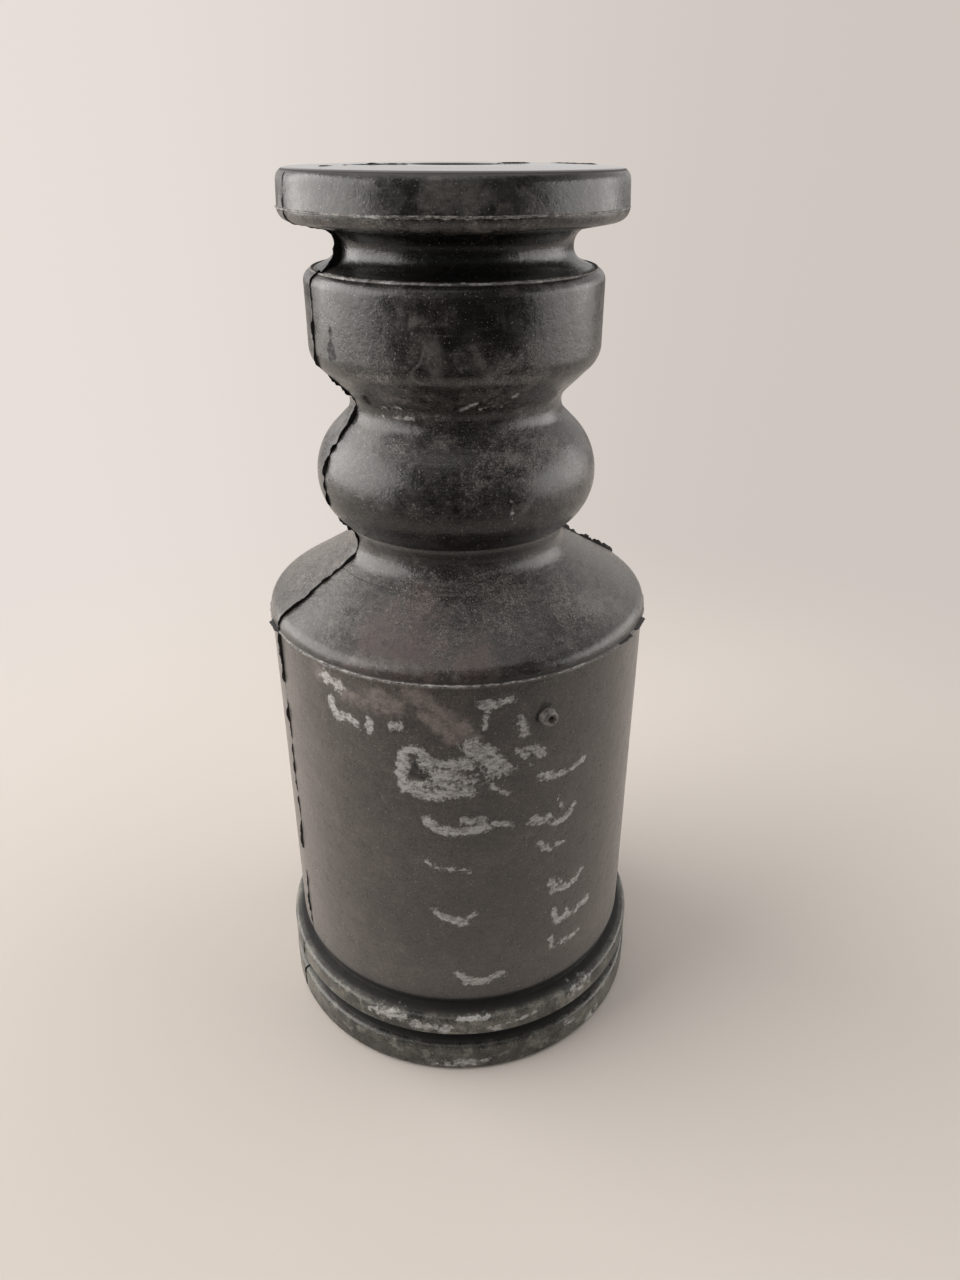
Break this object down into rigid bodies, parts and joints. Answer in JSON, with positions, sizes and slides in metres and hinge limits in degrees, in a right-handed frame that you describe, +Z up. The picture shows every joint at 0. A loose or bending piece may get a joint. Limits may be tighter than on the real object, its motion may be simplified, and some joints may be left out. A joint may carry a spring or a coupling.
{
  "type": "bump stop with dust sleeve",
  "caption": "Rubber shock absorber bump stop: snap-in flange and waisted column above an integral dust sleeve with a ribbed mouth; a rod bore runs through the column.",
  "frame": {"origin": "centre of the sleeve's mouth, on the surface that the part stands on", "axes": "+Z up the axis of the moulding, from the sleeve's mouth to the flange; -Y towards the side with the gate nub, which is 27 degrees round from -Y towards +X"},
  "size_m": [0.0706, 0.0706, 0.153],
  "materials": {
    "rubber": "satin black moulded rubber with a grey chalky bloom"
  },
  "bodies": {
    "sleeve": {"shoulder": "rubber", "dust_sleeve": "rubber", "upper_rib": "rubber", "lower_rib": "rubber", "gate_nub": "rubber", "root_neck": "rubber"},
    "bulge": {"bulge": "rubber", "waist_neck": "rubber"},
    "collar": {"collar": "rubber", "head_neck": "rubber"},
    "head": {"flange": "rubber"}
  },
  "joints": [
    {"name": "root_squeeze", "type": "slide", "parent": "sleeve", "child": "bulge", "axis": [0, 0, -1], "range_m": [0, 0.0032], "stiffness_N_per_m": 62500, "deforming": ["root_neck"]},
    {"name": "waist_squeeze", "type": "slide", "parent": "bulge", "child": "collar", "axis": [0, 0, -1], "range_m": [0, 0.004], "stiffness_N_per_m": 50000, "deforming": ["waist_neck"]},
    {"name": "head_squeeze", "type": "slide", "parent": "collar", "child": "head", "axis": [0, 0, -1], "range_m": [0, 0.002], "stiffness_N_per_m": 100000, "deforming": ["head_neck"]}
  ],
  "couplings": [
    {"joint": "root_squeeze", "follows": "waist_squeeze", "ratio": 0.8},
    {"joint": "head_squeeze", "follows": "waist_squeeze", "ratio": 0.5}
  ]
}
